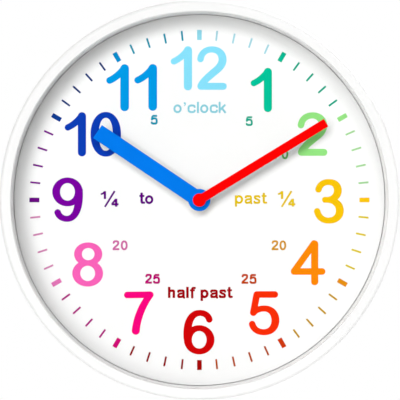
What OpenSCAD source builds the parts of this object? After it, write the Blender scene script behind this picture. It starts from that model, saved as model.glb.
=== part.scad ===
// Teaching wall clock: round case, clear lens, printed dial, two hands and a
// battery-driven quartz movement with its full gear train.
// Every sub-part is drawn with its axis along +z and the wall at z = 0, then
// place() stands it up: the dial looks along -Y and +Z is up.

/* [Case] */
// Widest outside diameter of the case
case_d = 225; // [215:1:260]
// Depth from the wall to the front of the lip
case_h = 38; // [37:0.5:44]
// Radial width of the front lip
lip_w = 7.4; // [6.8:0.05:7.6]
// Thickness of the back plate
back_t = 2; // [1.6:0.1:2.2]
// Radius from the centre to each case screw, measured inward from the widest radius
screw_in = 12; // [11.5:0.1:14]

/* [Lens and dial] */
// Thickness of the clear lens
lens_t = 2; // [1.5:0.1:3]
// Thickness of the dial
dial_t = 0.8; // [0.5:0.1:1]

/* [Hands] */
// Length of the hour hand from its centre
hour_len = 69.1; // [40:0.1:90]
// Width of the hour hand
hour_w = 8.85; // [5:0.05:10]
// Diameter of the hour hand's boss
hour_boss_d = 12.5; // [11:0.1:16]
// Direction of the hour hand, clockwise from 12
hour_deg = 303.9; // [0:0.1:360]
// Length of the minute hand from its centre
minute_len = 83.2; // [50:0.1:100]
// Width of the minute hand
minute_w = 4.95; // [3:0.05:7]
// Diameter of the minute hand's boss
minute_boss_d = 7.5; // [7:0.1:11]
// Direction of the minute hand, clockwise from 12
minute_deg = 58.6; // [0:0.05:360]
// Thickness of the sheet the hands are cut from
hand_t = 0.6; // [0.4:0.1:0.7]

/* [Hanger] */
// Height of the keyhole's round entry above the centre
key_y = 66; // [50:1:75]
// Radius of the keyhole's round entry
key_r = 4.5; // [4:0.1:6]
// Width of the keyhole's slot
key_slot = 4.6; // [3.5:0.1:6]
// How far the slot rises above the entry
key_rise = 10; // [8:0.5:14]

/* [Gear train] */
// Tooth module of most pairs
mod_a = 0.3; // [0.29:0.01:0.3]
// Tooth module of the rotor pair
mod_r = 0.25; // [0.24:0.01:0.25]
// Thinning of every tooth so that pairs run free
backlash = 0.05; // [0.04:0.01:0.07]

/* [Battery] */
// Diameter of the cell
cell_d = 14.2; // [13.5:0.1:14.4]
// Length of the cell without its nub
cell_len = 49.5; // [49:0.1:49.6]

/* [Hidden] */
$fn = 96;

// case radii and levels
R = case_d / 2;
lip_r = R - lip_w;
crown_r = R - 4.3;
crown_h = 22;
lip_ease = 0.3;
seat_r = R - 4.7;
rear_r = R - 1.5;
lens_r = seat_r - 0.5;
lens_z1 = case_h - 2.8;
lens_z0 = lens_z1 - lens_t;
dial_z0 = 19.5;
dial_z1 = dial_z0 + dial_t;
hour_z = 26.6;
minute_z = 30.2;
dial_r = lip_r - 0.15;
back_z0 = 0.4;
back_z1 = back_z0 + back_t;
back_r = seat_r - 0.4;
screw_r = R - screw_in;
cup_z = 4.4;
pocket = 57.5;
pocket_wall = 1.8;
pocket_z = 17.5;

// movement levels
mv = 56;
mv_wall = 1.3;
mv_z0 = 1.5;
lid_z = 2.9;
mv_z1 = 17;
front_z = 15.6;
plate_z0 = 7.5;
plate_z1 = 8.6;
bay_y = -12;
bush_r = 3.9;

// axes of the train
pO = [0, 0];
aT = 150;
dT = 10.8;
pT = dT * [cos(aT), sin(aT)];
aM = 40;
dM = 30 * mod_a;
pM = dM * [cos(aM), sin(aM)];
aK = 0;
dK = 32 * mod_a;
pK = pM + dK * [cos(aK), sin(aK)];
aI = 20;
dI = 24 * mod_a;
pI = dI * [cos(aI), sin(aI)];
aR = 90;
dR = 28 * mod_r;
pR = pI + dR * [cos(aR), sin(aR)];
mod_4 = dT / 34;
mod_3 = dT / 36;

// tooth phases so that each pair is in mesh as drawn
function mate(phi, tA, zA, zB) = phi + 180 - (0.5 - (phi - tA) * zA / 360) * 360 / zB;
t_minute = mate(aM, 0, 12, 48);
t_hour = mate(aM + 180, 0, 15, 45);
t_knob = mate(aK, t_minute, 48, 16);
t_third = mate(aT, 0, 8, 60);
t_centre = mate(aT + 180, 0, 8, 64);
t_ipin = mate(aI, 0, 40, 8);
t_rotor = mate(aR, 0, 48, 8);

// cell position
cell_y = -19.35;
cell_z = 8.3;
cell_x0 = -24.3;
nub = 1;

// involute tooth outline
function inv_a(rb, r) = r <= rb ? 0 : let(t = sqrt(pow(r / rb, 2) - 1)) t * 180 / PI - atan(t);
function pol(r, a) = [r * cos(a), r * sin(a)];
function gear_pts(z, m) =
    let(rp = m * z / 2, rb = rp * cos(25), ra = rp + 0.75 * m, rf = rp - m,
        th0 = 90 / z - (backlash / 2) / rp * 180 / PI + inv_a(rb, rp),
        r0 = max(rf, rb), rr = [r0, (r0 + ra) / 2, ra])
    [for (k = [0 : z - 1]) let(c = k * 360 / z) each concat(
        rf < rb ? [pol(rf, c - th0)] : [],
        [for (r = rr) pol(r, c - (th0 - inv_a(rb, r)))],
        [for (i = [2 : -1 : 0]) pol(rr[i], c + (th0 - inv_a(rb, rr[i])))],
        rf < rb ? [pol(rf, c + th0)] : [])];

module place() rotate([90, 0, 0]) children();
module at(p, z = 0) translate([p[0], p[1], z]) children();
module rod(r, z0, z1) translate([0, 0, z0]) cylinder(r = r, h = z1 - z0);
module ring(ro, ri, z0, z1) translate([0, 0, z0]) linear_extrude(z1 - z0)
    difference() { circle(r = ro); circle(r = ri); }
module box(x0, x1, y0, y1, z0, z1) translate([x0, y0, z0]) cube([x1 - x0, y1 - y0, z1 - z0]);
module rrect(w, h, r) {
    square([w - 2 * r, h], center = true);
    square([w, h - 2 * r], center = true);
    for (sx = [-1, 1], sy = [-1, 1]) translate([sx * (w / 2 - r), sy * (h / 2 - r)]) circle(r = r, $fn = 48);
}
module toothed(z, m, ph, z0, z1, bore = 0) translate([0, 0, z0]) linear_extrude(z1 - z0)
    difference() { rotate(ph) polygon(gear_pts(z, m)); if (bore > 0) circle(r = bore); }

// ring with rounded front lip, lens seat and four screw bosses
module front_case() color("white") place() {
    n = 16;
    e = 2 / 3;
    union() {
        rotate_extrude($fn = 180) polygon(concat(
            [[seat_r, 0], [rear_r - 0.6, 0], [rear_r, 0.6]],
            [for (i = [0 : n]) let(a = 90 * i / n)
                [crown_r + (R - crown_r) * pow(cos(a), e), case_h - crown_h + crown_h * pow(sin(a), e)]],
            [for (i = [0 : 4]) let(a = 90 + 22.5 * i)
                [lip_r + lip_ease + lip_ease * cos(a), case_h - lip_ease + lip_ease * sin(a)]],
            [[lip_r, lens_z1], [seat_r, lens_z1]]));
        for (a = [45 : 90 : 315]) rotate(a) difference() {
            union() {
                at([screw_r, 0]) rod(4, cup_z, 18.7);
                box(screw_r, seat_r + 0.8, -1.5, 1.5, cup_z, 18.7);
            }
            at([screw_r, 0]) rod(1.25, cup_z - 1, 16);
        }
    }
}

module lens() color([0.85, 0.92, 0.95, 0.3]) place() rod(lens_r, lens_z0, lens_z1);

// inner wall round the dial, on which the lens rests
module spacer_ring() color("white") place() rotate_extrude($fn = 180)
    polygon([[lip_r + 0.15, dial_z0], [seat_r - 0.4, dial_z0], [seat_r - 0.4, lens_z0], [lip_r + 0.4, lens_z0]]);

module dial() color([0.98, 0.98, 0.97]) place() ring(dial_r, bush_r + 0.3, dial_z0, dial_z1);

// pan that closes the back, with the movement pocket and the keyhole
module rear_case() color([0.95, 0.95, 0.95]) place() difference() {
    union() {
        rod(back_r, back_z0, back_z1);
        difference() {
            ring(back_r - 0.2, back_r - 3, back_z1 - 0.5, dial_z0);
            for (a = [45 : 90 : 315]) rotate(a) box(screw_r - 2, R, -6, 6, cup_z, 30);
        }
        for (a = [45 : 90 : 315]) rotate(a) at([screw_r, 0]) rod(5, back_z0, cup_z);
        translate([0, 0, back_z1 - 0.5]) linear_extrude(dial_z0 - back_z1 + 0.5)
            rrect(pocket + 2 * pocket_wall, pocket + 2 * pocket_wall, 4);
        for (a = [0, 180, 270]) rotate(a) box(pocket / 2, back_r - 2, -0.8, 0.8, back_z1 - 0.5, 14);
    }
    translate([0, 0, back_z0 - 1]) linear_extrude(pocket_z - back_z0 + 1) rrect(pocket, pocket, 2.5);
    rod(bush_r + 0.3, pocket_z - 1, dial_z0 + 1);
    at([0, key_y]) rod(key_r, back_z0 - 1, back_z1 + 1);
    box(-key_slot / 2, key_slot / 2, key_y, key_y + key_rise, back_z0 - 1, back_z1 + 1);
    at([0, key_y + key_rise]) rod(key_slot / 2, back_z0 - 1, back_z1 + 1);
    for (a = [45 : 90 : 315]) rotate(a) at([screw_r, 0]) {
        rod(3.5, back_z0 - 1, 2.5);
        rod(1.6, 0, cup_z + 1);
    }
}

// four self-tapping screws, driven from the back
module case_screws() color("silver") place() for (a = [45 : 90 : 315]) rotate(a) at([screw_r, 0]) difference() {
    union() {
        rod(3, 0.7, 2.5);
        rod(1.2, 2.4, 13);
        translate([0, 0, 13]) cylinder(r1 = 1.2, r2 = 0.2, h = 1.8);
    }
    box(-1.9, 1.9, -0.35, 0.35, 0, 1.6);
    box(-0.35, 0.35, -1.9, 1.9, 0, 1.6);
}

// wide blue hand pressed on the hour tube
module hour_hand() color([0, 0.35, 0.85]) place() rotate(-hour_deg) difference() {
    union() {
        box(-hour_w / 2, hour_w / 2, 0, hour_len, hour_z, hour_z + hand_t);
        rod(hour_boss_d / 2, hour_z, hour_z + hand_t);
        rod(3.5, hour_z - 0.7, hour_z + 1.5);
    }
    rod(2.57, hour_z - 2, hour_z + 3);
}

// narrow red hand with a closed boss pressed on the minute arbor
module minute_hand() color([0.95, 0, 0]) place() rotate(-minute_deg) difference() {
    union() {
        box(-minute_w / 2, minute_w / 2, 0, minute_len, minute_z, minute_z + hand_t);
        rod(minute_boss_d / 2, minute_z, minute_z + hand_t);
        rod(2.6, minute_z - 1, minute_z + hand_t);
    }
    rod(1.72, minute_z - 2, minute_z + 0.2);
}

module centre_nut() color([0.8, 0.65, 0.3]) place() translate([0, 0, dial_z1 + 0.5]) difference() {
    linear_extrude(2.2) circle(r = 5 / cos(30), $fn = 6);
    translate([0, 0, -1]) cylinder(r = bush_r + 0.05, h = 5);
}

module nut_washer() color([0.8, 0.65, 0.3]) place() ring(6, bush_r + 0.1, dial_z1, dial_z1 + 0.5);

module movement_gasket() color([0.1, 0.1, 0.1]) place() ring(11, bush_r + 0.2, mv_z1, pocket_z);

pillars = [[-23, -8], [23, -8], [-23, 10.5], [22.8, 12.8]];

// front half of the housing: tray, threaded bush, stud, pillars and battery bay
module movement_case() color([0.12, 0.12, 0.13]) place() difference() {
    union() {
        difference() {
            translate([0, 0, mv_z0]) linear_extrude(mv_z1 - mv_z0) rrect(mv, mv, 3);
            translate([0, 0, mv_z0 - 1]) linear_extrude(front_z - mv_z0 + 1) rrect(mv - 2 * mv_wall, mv - 2 * mv_wall, 1.7);
            box(-40, 40, bay_y + 1, 40, 0, lid_z);
        }
        box(-mv / 2 + 1, mv / 2 - 1, bay_y, bay_y + 1, mv_z0, front_z + 0.2);
        rod(bush_r, front_z, 24);
        at(pM) rod(0.8, 12, front_z + 0.2);
        at(pT) rod(1.4, 14, front_z + 0.2);
        for (p = pillars) at(p) { rod(1.6, plate_z1, front_z + 0.2); rod(0.7, plate_z0, plate_z1 + 0.2); }
        for (p = [[-23.5, 24], [-12.5, 15.5]]) at(p) rod(1.3, 12, front_z + 0.2);
    }
    rod(2.63, front_z - 1, 25);
    at(pT) rod(0.45, 13, 16.3);
    at(pK) rod(0.65, front_z - 1, 16.5);
    for (s = [-1, 1]) translate([s * 26.4, 0, 0]) box(-0.5, 0.5, bay_y - 1, bay_y + 2, 12.6, 15.2);
}

// rear half of the housing over the train, with a well for the knob
module movement_cover() color([0.14, 0.14, 0.15]) place() difference() {
    union() {
        translate([0, 0, mv_z0]) linear_extrude(lid_z - mv_z0) intersection() {
            rrect(mv, mv, 3);
            translate([-40, bay_y + 1]) square([80, 60]);
        }
        at(pK) rod(8, lid_z - 0.5, 4);
        for (p = [pO, pI, pR]) at(p) rod(1.4, lid_z - 0.5, 3.7);
        for (p = [[-25, 25], [25, 25], [-25, -9.3], [25, -9.3]]) at(p) rod(1, lid_z - 0.5, 5.5);
    }
    at(pK) rod(7, 0, 3);
    at(pK) rod(1.06, 2, 5);
    for (p = [pO, pI, pR]) at(p) rod(0.45, 2, 5);
}

// plate between the two halves of the train
module middle_plate() color([0.9, 0.9, 0.86]) place() difference() {
    union() {
        box(-24.8, 24.8, -10.2, 15.2, plate_z0, plate_z1);
        for (x = [-7.4, 20.9]) at([x, 13]) rod(1.2, 6.6, plate_z0 + 0.3);
    }
    rod(1.7, 6, 10);
    for (p = [pT, pI, pR]) at(p) rod(0.45, 6, 10);
    at(pK) rod(1.06, 6, 10);
    for (p = pillars) at(p) rod(0.75, 6, 10);
}

module circuit_board() color([0.1, 0.4, 0.2]) place() box(-25.8, -10.5, 13.5, 26.1, 11, 12);

module quartz_crystal() color("silver") place() {
    translate([-23, 17, 10]) rotate([0, 90, 0]) cylinder(r = 1, h = 6);
}

module timing_chip() color([0.08, 0.08, 0.08]) place() at([-14.8, 21.5]) rod(2.3, 10.2, 11);

coil_y = 21.5;
coil_z = 7.1;
coil_x0 = pR[0] - 11;
coil_x1 = pR[0] + 11;

module coil_bobbin() color([0.9, 0.9, 0.86]) place() difference() {
    union() {
        box(coil_x0, coil_x1, coil_y - 2, coil_y + 2, coil_z - 1.3, coil_z + 1.3);
        for (x = [coil_x0, coil_x1 - 0.8]) box(x, x + 0.8, coil_y - 4.1, coil_y + 4.1, coil_z - 3.9, coil_z + 3.9);
    }
    box(coil_x0 - 1, coil_x1 + 1, coil_y - 1.35, coil_y + 1.35, coil_z - 0.55, coil_z + 0.55);
}

module coil_winding() color([0.72, 0.35, 0.12]) place() difference() {
    translate([coil_x0 + 0.85, coil_y, coil_z]) rotate([0, 90, 0]) cylinder(r = 3.6, h = coil_x1 - coil_x0 - 1.7);
    box(coil_x0, coil_x1, coil_y - 2.02, coil_y + 2.02, coil_z - 1.32, coil_z + 1.32);
}

module coil_core() color([0.6, 0.6, 0.62]) place() box(-9.2, 22.7, coil_y - 1.3, coil_y + 1.3, coil_z - 0.5, coil_z + 0.5);

// laminated plate that carries the field round the rotor
module stator() color([0.6, 0.6, 0.62]) place() translate([0, 0, 5.9]) linear_extrude(0.7) difference() {
    union() {
        translate(pR) circle(r = 4.4);
        translate([-9.2, pR[1] - 1.6]) square([31.9, 3.2]);
        translate([-9.2, pR[1] - 1.6]) square([3.5, coil_y + 1.7 - pR[1] + 1.6]);
        translate([19.2, pR[1] - 1.6]) square([3.5, coil_y + 1.7 - pR[1] + 1.6]);
    }
    translate(pR) circle(r = 2.9);
}

module rotor_magnet() color([0.3, 0.3, 0.32]) place() at(pR) ring(2.5, 0.72, 5.7, 7);

module rotor_pinion() color([0.92, 0.92, 0.88]) place() at(pR) {
    toothed(8, mod_r, t_rotor, 4.1, 5.4);
    rod(0.7, 5.3, 7.05);
    rod(0.4, 2.15, 4.2);
    rod(0.4, 7, 8.4);
}

module intermediate_wheel() color([0.92, 0.92, 0.88]) place() at(pI) {
    toothed(48, mod_r, 0, 4.4, 5.1);
    toothed(8, mod_a, t_ipin, 5, 7);
    rod(0.4, 2.15, 4.5);
    rod(0.4, 6.9, 8.4);
}

module fourth_wheel() color([0.92, 0.92, 0.88]) place() {
    toothed(40, mod_a, 0, 6.1, 6.8);
    toothed(8, mod_4, 0, 9.1, 10.3);
    rod(0.7, 5.6, 9.2);
    rod(0.4, 2.15, 5.7);
    rod(0.4, 10.2, 11.4);
}

module third_wheel() color([0.92, 0.92, 0.88]) place() at(pT) {
    toothed(60, mod_4, t_third, 9.4, 10.1);
    toothed(8, mod_3, 0, 10, 11.9);
    rod(0.7, 11.8, 13.7);
    rod(0.4, 13.6, 16.1);
    rod(0.7, 8.9, 9.5);
    rod(0.4, 7.7, 9);
}

// rides on the minute arbor through a friction seat
module centre_wheel() color([0.92, 0.92, 0.88]) place() {
    toothed(64, mod_3, t_centre, 10.9, 11.7, 1.56);
}

// carries the minute hand and the cannon pinion
module minute_arbor() color([0.9, 0.9, 0.86]) place() difference() {
    union() {
        rod(1.5, 10.7, 12.3);
        rod(2.2, 11.76, 12.2);
        toothed(12, mod_a, 0, 12.1, 13.7);
        rod(1.7, 13.6, minute_z + 0.2);
    }
    rod(0.45, 10, 11.8);
}

// runs on the fixed stud of the housing
module minute_wheel() color([0.92, 0.92, 0.88]) place() at(pM) difference() {
    union() {
        toothed(48, mod_a, t_minute, 12.4, 13.3);
        toothed(15, mod_a, 0, 13.2, 15.2);
    }
    rod(0.85, 11, 16);
}

module hour_wheel() color([0.92, 0.92, 0.88]) place() difference() {
    union() {
        toothed(45, mod_a, t_hour, 14.1, 15.1);
        rod(2.55, 15, hour_z + 1.5);
        rod(3.4, 15, 15.4);
    }
    rod(1.78, 13, hour_z + 3);
}

// turned by a fingertip from the back
module setting_knob() color([0.12, 0.12, 0.13]) place() at(pK) {
    translate([0, 0, 0.7]) linear_extrude(2.1) polygon([for (i = [0 : 71]) pol(i % 3 == 2 ? 5.6 : 6, 5 * i)]);
    rod(1, 2.7, 14);
    toothed(16, mod_a, t_knob, 12.1, 13.7);
    rod(0.6, 13.6, 16.2);
}

module battery() color([0.2, 0.45, 0.25]) place() translate([0, cell_y, cell_z]) rotate([0, 90, 0]) {
    rod(cell_d / 2, cell_x0, cell_x0 + cell_len);
    rod(2.75, cell_x0 + cell_len - 0.5, cell_x0 + cell_len + nub);
}

module positive_contact() color("silver") place() {
    translate([0, 0, 3.6]) linear_extrude(10.8) polygon([[26.65, -24.8], [26.65, -13], [26.3, -13], [26.3, -24.8]]);
    translate([0, 0, 13]) linear_extrude(1.8) polygon([[26.65, -14], [26.65, 24.4], [24.4, 26.4],
        [-13, 26.4], [-13, 26.05], [24.25, 26.05], [26.3, 24.25], [26.3, -14]]);
    translate([0, 0, 12]) linear_extrude(1.2) polygon([[-11, 24.4], [-11, 26.4], [-13, 26.4], [-13, 24.4]]);
}

module negative_contact() color("silver") place() {
    box(-26.65, -26.3, -24.8, -13, 3.6, 14.4);
    box(-26.65, -26.3, -14, 20, 13, 14.8);
    box(-26.65, -24.2, 18, 20, 12, 13.2);
}

// conical spring that presses on the flat end of the cell
function coil_at(t) = let(r = 3.6 - 1.7 * t, a = 360 * 2.5 * t)
    [-26.05 + 1.45 * t, cell_y + r * cos(a), cell_z + r * sin(a)];
module negative_spring() color("silver") place() {
    n = 50;
    w = 0.25;
    pts = [for (i = [0 : n]) let(t = i / n, c = coil_at(t), a = 360 * 2.5 * t)
        each [for (k = [0 : 5]) c + w * (cos(60 * k) * [1, 0, 0] + sin(60 * k) * [0, cos(a), sin(a)])]];
    polyhedron(points = pts, faces = concat(
        [[for (k = [0 : 5]) k]],
        [[for (k = [5 : -1 : 0]) 6 * n + k]],
        [for (i = [0 : n - 1], k = [0 : 5]) let(j = (k + 1) % 6) [6 * i + k, 6 * i + 6 + j, 6 * i + j]],
        [for (i = [0 : n - 1], k = [0 : 5]) let(j = (k + 1) % 6) [6 * i + k, 6 * i + 6 + k, 6 * i + 6 + j]]));
}

front_case();
lens();
spacer_ring();
dial();
rear_case();
case_screws();
hour_hand();
minute_hand();
centre_nut();
nut_washer();
movement_gasket();
movement_case();
movement_cover();
middle_plate();
circuit_board();
quartz_crystal();
timing_chip();
coil_bobbin();
coil_winding();
coil_core();
stator();
rotor_magnet();
rotor_pinion();
intermediate_wheel();
fourth_wheel();
third_wheel();
centre_wheel();
minute_arbor();
minute_wheel();
hour_wheel();
setting_knob();
battery();
positive_contact();
negative_contact();
negative_spring();
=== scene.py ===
# Looks of a teaching wall clock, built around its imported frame.
# Sub-parts are drawn in millimetres with x right, y up and z towards the
# viewer, the wall at z = 0; G() turns that into the shared frame in metres.
import math

import bmesh
import bpy
import numpy as np
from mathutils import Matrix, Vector
from mathutils.geometry import tessellate_polygon


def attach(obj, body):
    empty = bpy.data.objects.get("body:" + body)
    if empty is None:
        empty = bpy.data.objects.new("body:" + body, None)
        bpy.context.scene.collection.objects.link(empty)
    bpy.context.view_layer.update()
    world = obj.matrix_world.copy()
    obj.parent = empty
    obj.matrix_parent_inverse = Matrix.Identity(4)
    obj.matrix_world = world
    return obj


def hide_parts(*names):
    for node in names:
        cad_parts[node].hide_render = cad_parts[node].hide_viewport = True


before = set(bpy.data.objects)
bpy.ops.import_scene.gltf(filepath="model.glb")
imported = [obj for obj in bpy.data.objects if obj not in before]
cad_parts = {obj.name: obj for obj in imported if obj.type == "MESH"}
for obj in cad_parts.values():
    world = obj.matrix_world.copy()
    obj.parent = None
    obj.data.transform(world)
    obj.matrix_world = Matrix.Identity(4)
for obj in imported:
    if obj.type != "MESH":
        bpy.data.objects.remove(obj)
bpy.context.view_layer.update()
SC = bpy.context.scene
MM = 0.001
PI = math.pi


def G(x, y, z):
    return Vector((x * MM, -z * MM, y * MM))


# ------------------------------------------------------------------ mesh tools
def link(ob):
    SC.collection.objects.link(ob)
    return ob


def from_points(name, verts, faces):
    me = bpy.data.meshes.new(name)
    me.from_pydata([G(*v) for v in verts], [], [tuple(f) for f in faces])
    me.update()
    return link(bpy.data.objects.new(name, me))


def tidy(ob, sharp=32, weld=2e-7):
    bm = bmesh.new()
    bm.from_mesh(ob.data)
    bmesh.ops.remove_doubles(bm, verts=bm.verts, dist=weld)
    bmesh.ops.dissolve_degenerate(bm, dist=1e-8, edges=bm.edges)
    bmesh.ops.recalc_face_normals(bm, faces=bm.faces)
    bm.to_mesh(ob.data)
    bm.free()
    ob.data.shade_smooth()
    ob.data.set_sharp_from_angle(angle=math.radians(sharp))
    n = np.empty(len(ob.data.polygons) * 3)
    ob.data.polygons.foreach_get("normal", n)
    # plane faces keep their own normal, so that long triangles on them show no creases
    ob.data.polygons.foreach_set("use_smooth", np.abs(n.reshape(-1, 3)).max(1) < 0.99999)
    return ob


def done(ob, material, body="case", nodes=(), sharp=32):
    tidy(ob, sharp)
    ob.data.materials.clear()
    ob.data.materials.append(material)
    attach(ob, body)
    if nodes:
        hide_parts(*nodes)
    return ob


def rounded(pts, rad, seg=5, closed=True):
    """The outline with each corner turned into an arc; rad is one radius or a list."""
    out, n = [], len(pts)
    for i, p in enumerate(pts):
        r = rad[i] if isinstance(rad, (list, tuple)) else rad
        b = Vector(p)
        if r <= 0 or (not closed and i in (0, n - 1)):
            out.append(tuple(b))
            continue
        u, v = Vector(pts[i - 1]) - b, Vector(pts[(i + 1) % n]) - b
        lu, lv = u.length, v.length
        u, v = u / lu, v / lv
        ang = math.acos(max(-1, min(1, u.dot(v))))
        if PI - ang < 1e-3:
            out.append(tuple(b))
            continue
        t = min(r / math.tan(ang / 2), 0.49 * lu, 0.49 * lv)
        rr = t * math.tan(ang / 2)
        cen = b + (u + v).normalized() * (rr / math.sin(ang / 2))
        p0, p1 = b + u * t - cen, b + v * t - cen
        a0, a1 = math.atan2(p0.y, p0.x), math.atan2(p1.y, p1.x)
        d = (a1 - a0 + PI) % (2 * PI) - PI
        for k in range(seg + 1):
            a = a0 + d * k / seg
            out.append((cen.x + rr * math.cos(a), cen.y + rr * math.sin(a)))
    return out


def arc(cx, cy, rx, ry, a0, a1, n, power=2.0):
    """Points along an ellipse; a power above 2 squares it off."""
    out = []
    for k in range(n + 1):
        t = math.radians(a0 + (a1 - a0) * k / n)
        c, s = math.cos(t), math.sin(t)
        out.append((cx + rx * math.copysign(abs(c) ** (2 / power), c), cy + ry * math.copysign(abs(s) ** (2 / power), s)))
    return out


def lathe(name, prof, n=192, at=(0, 0), along="z"):
    """Turns a closed outline of (radius, height) round an axis through at."""
    V, F, m = [], [], len(prof)
    for k in range(n):
        c, s = math.cos(2 * PI * k / n), math.sin(2 * PI * k / n)
        for r, h in prof:
            V.append((at[0] + r * c, at[1] + r * s, h) if along == "z" else (h, at[0] + r * c, at[1] + r * s))
    for k in range(n):
        q = (k + 1) % n
        for i in range(m):
            j = (i + 1) % m
            if prof[i][0] < 1e-9 and prof[j][0] < 1e-9:
                continue
            F.append((k * m + i, k * m + j, q * m + j, q * m + i))
    return from_points(name, V, F)


def slab(name, groups, z0, z1, chamfer=0.0):
    """Flat plates between z0 and z1. groups holds lists of outlines, the first of each list outside and the rest holes."""
    V, F = [], []
    for loops in groups:
        base, m = len(V), sum(len(l) for l in loops)
        flat = [p for l in loops for p in l]
        V += [(x, y, z1) for x, y in flat] + [(x, y, z0) for x, y in flat]
        tris = tessellate_polygon([[Vector((x, y, 0)) for x, y in l] for l in loops])
        for t in tris:
            a, b, c = (Vector(flat[i]) for i in t)
            t = t if (b - a).cross(c - a) > 0 else (t[0], t[2], t[1])
            F.append(tuple(base + i for i in t))
            F.append(tuple(base + m + i for i in (t[0], t[2], t[1])))
        k = 0
        for l in loops:
            n = len(l)
            for i in range(n):
                a, b = base + k + i, base + k + (i + 1) % n
                F.append((a, a + m, b + m, b))
            k += n
    ob = from_points(name, V, F)
    if chamfer:
        bm = bmesh.new()
        bm.from_mesh(ob.data)
        bmesh.ops.recalc_face_normals(bm, faces=bm.faces)
        top = -z1 * MM
        edges = [e for e in bm.edges if all(abs(v.co.y - top) < 1e-8 for v in e.verts)
                 and e.calc_face_angle(0) > 0.8]
        bmesh.ops.bevel(bm, geom=edges, offset=chamfer * MM, offset_type="OFFSET", segments=2,
                        profile=0.5, affect="EDGES", clamp_overlap=True)
        bm.to_mesh(ob.data)
        bm.free()
    return ob


def inset(pts, d):
    """A closed outline moved inward by d; the outline runs counter-clockwise."""
    out, n = [], len(pts)
    for i in range(n):
        a, b, c = Vector(pts[i - 1]), Vector(pts[i]), Vector(pts[(i + 1) % n])
        u, v = (b - a).normalized(), (c - b).normalized()
        nu, nv = Vector((-u.y, u.x)), Vector((-v.y, v.x))
        w = (nu + nv).normalized()
        out.append(tuple(b + w * (d / max(0.35, w.dot(nu)))))
    return out


def loft(name, rings):
    """A solid through rings of equal length, each a list of (x, y, z), with flat ends."""
    V, F, n = [], [], len(rings[0])
    for r in rings:
        V += r
    for k in range(len(rings) - 1):
        for i in range(n):
            j = (i + 1) % n
            F.append((k * n + i, k * n + j, (k + 1) * n + j, (k + 1) * n + i))
    for base, r, flip in ((0, rings[0], True), ((len(rings) - 1) * n, rings[-1], False)):
        for t in tessellate_polygon([[Vector(p) for p in r]]):
            F.append(tuple(base + i for i in (t[::-1] if flip else t)))
    return from_points(name, V, F)


def boolean(ob, others, op="UNION"):
    for o in (ob, *others):
        tidy(o)
    for o in others:
        md = ob.modifiers.new("cut", "BOOLEAN")
        md.operation, md.solver, md.object = op, "EXACT", o
    dg = bpy.context.evaluated_depsgraph_get()
    me = bpy.data.meshes.new_from_object(ob.evaluated_get(dg))
    ob.modifiers.clear()
    old, ob.data = ob.data, me
    bpy.data.meshes.remove(old)
    for o in others:
        bpy.data.objects.remove(o, do_unlink=True)
    return ob


def join(name, obs):
    bm = bmesh.new()
    for o in obs:
        bm.from_mesh(o.data)
    me = bpy.data.meshes.new(name)
    bm.to_mesh(me)
    bm.free()
    for o in obs:
        bpy.data.objects.remove(o, do_unlink=True)
    return link(bpy.data.objects.new(name, me))


def eased(node, name, width, seg=2, angle=35, where=None):
    """A copy of a frame node with its sharp edges rounded by width, in mm."""
    bm = bmesh.new()
    bm.from_mesh(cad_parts[node].data)
    bmesh.ops.remove_doubles(bm, verts=bm.verts, dist=1e-6)
    bmesh.ops.recalc_face_normals(bm, faces=bm.faces)
    bmesh.ops.dissolve_limit(bm, angle_limit=math.radians(0.4), use_dissolve_boundaries=False,
                             verts=bm.verts, edges=bm.edges)
    edges = []
    for e in bm.edges:
        if len(e.link_faces) == 2 and e.calc_face_angle(0) > math.radians(angle):
            mid = (e.verts[0].co + e.verts[1].co) / 2 / MM
            if where is None or where(mid.x, mid.z, -mid.y):
                edges.append(e)
    bmesh.ops.bevel(bm, geom=edges, offset=width * MM, offset_type="OFFSET", segments=seg,
                    profile=0.5, affect="EDGES", clamp_overlap=True)
    bmesh.ops.triangulate(bm, faces=[f for f in bm.faces if len(f.verts) > 4])
    me = bpy.data.meshes.new(name)
    bm.to_mesh(me)
    bm.free()
    return link(bpy.data.objects.new(name, me))


# ------------------------------------------------------------------ materials
def lin(*c):
    return tuple(v / 255 / 12.92 if v <= 10.31 else ((v / 255 + 0.055) / 1.055) ** 2.4 for v in c)


def start(name):
    m = bpy.data.materials.new(name)
    m.use_nodes = True
    nt = m.node_tree
    nt.nodes.clear()
    out = nt.nodes.new("ShaderNodeOutputMaterial")
    tc = nt.nodes.new("ShaderNodeTexCoord")
    return m, nt, out, tc.outputs["Object"]


def noise(nt, vec, scale, detail=3.0, rough=0.55):
    n = nt.nodes.new("ShaderNodeTexNoise")
    n.inputs["Scale"].default_value = scale
    n.inputs["Detail"].default_value = detail
    n.inputs["Roughness"].default_value = rough
    nt.links.new(vec, n.inputs["Vector"])
    return n.outputs["Fac"]


def ramp(nt, fac, stops):
    n = nt.nodes.new("ShaderNodeValToRGB")
    el = n.color_ramp.elements
    while len(el) < len(stops):
        el.new(0.5)
    for e, (p, c) in zip(el, stops):
        e.position = p
        e.color = (*c, 1.0)
    nt.links.new(fac, n.inputs["Fac"])
    return n.outputs["Color"]


def span(nt, fac, lo, hi, a=0.3, b=0.7):
    n = nt.nodes.new("ShaderNodeMapRange")
    for k, v in (("From Min", a), ("From Max", b), ("To Min", lo), ("To Max", hi)):
        n.inputs[k].default_value = v
    nt.links.new(fac, n.inputs["Value"])
    return n.outputs["Result"]


def math2(nt, op, a, b):
    n = nt.nodes.new("ShaderNodeMath")
    n.operation = op
    for k, v in ((0, a), (1, b)):
        if isinstance(v, (int, float)):
            n.inputs[k].default_value = v
        else:
            nt.links.new(v, n.inputs[k])
    return n.outputs[0]


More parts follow.
